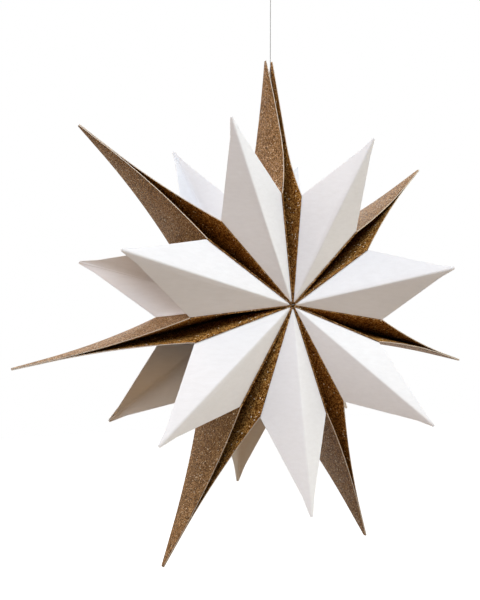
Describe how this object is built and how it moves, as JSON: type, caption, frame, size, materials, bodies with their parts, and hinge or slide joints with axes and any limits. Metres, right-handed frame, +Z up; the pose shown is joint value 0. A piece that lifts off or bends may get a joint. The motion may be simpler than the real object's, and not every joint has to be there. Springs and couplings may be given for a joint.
{
  "type": "hanging paper star",
  "caption": "Hanging star of gold glitter card leaves with folded white paper points between them, on a thread with a loop.",
  "frame": {"origin": "middle of the hub, where all the gold leaves meet", "axes": "-Y is the front that the picture shows, Y is the star's own axis, +Z is up to the top gold point and the thread"},
  "size_m": [0.5854, 0.1606, 0.6909],
  "materials": {
    "gold_glitter_card": "bronze gold glitter on both faces, pale cut edge",
    "white_paper": "matt laid white paper",
    "thread": "pale twisted thread"
  },
  "bodies": {
    "root": {"gold_leaf_1_left": "gold_glitter_card", "gold_leaf_1_right": "gold_glitter_card", "gold_leaf_2_left": "gold_glitter_card", "gold_leaf_2_right": "gold_glitter_card", "gold_leaf_3_left": "gold_glitter_card", "gold_leaf_3_right": "gold_glitter_card", "gold_leaf_4_left": "gold_glitter_card", "gold_leaf_4_right": "gold_glitter_card", "gold_leaf_5_left": "gold_glitter_card", "gold_leaf_5_right": "gold_glitter_card", "gold_leaf_6_left": "gold_glitter_card", "gold_leaf_6_right": "gold_glitter_card", "gold_leaf_7_left": "gold_glitter_card", "gold_leaf_7_right": "gold_glitter_card", "white_point_1_front": "white_paper", "white_point_1_back": "white_paper", "white_point_2_front": "white_paper", "white_point_2_back": "white_paper", "white_point_3_front": "white_paper", "white_point_3_back": "white_paper", "white_point_4_front": "white_paper", "white_point_4_back": "white_paper", "white_point_5_front": "white_paper", "white_point_5_back": "white_paper", "white_point_6_front": "white_paper", "white_point_6_back": "white_paper", "white_point_7_front": "white_paper", "white_point_7_back": "white_paper", "thread_stop_knot": "thread", "hanging_thread": "thread", "thread_loop_knot": "thread", "hanging_loop": "thread"}
  },
  "joints": []
}
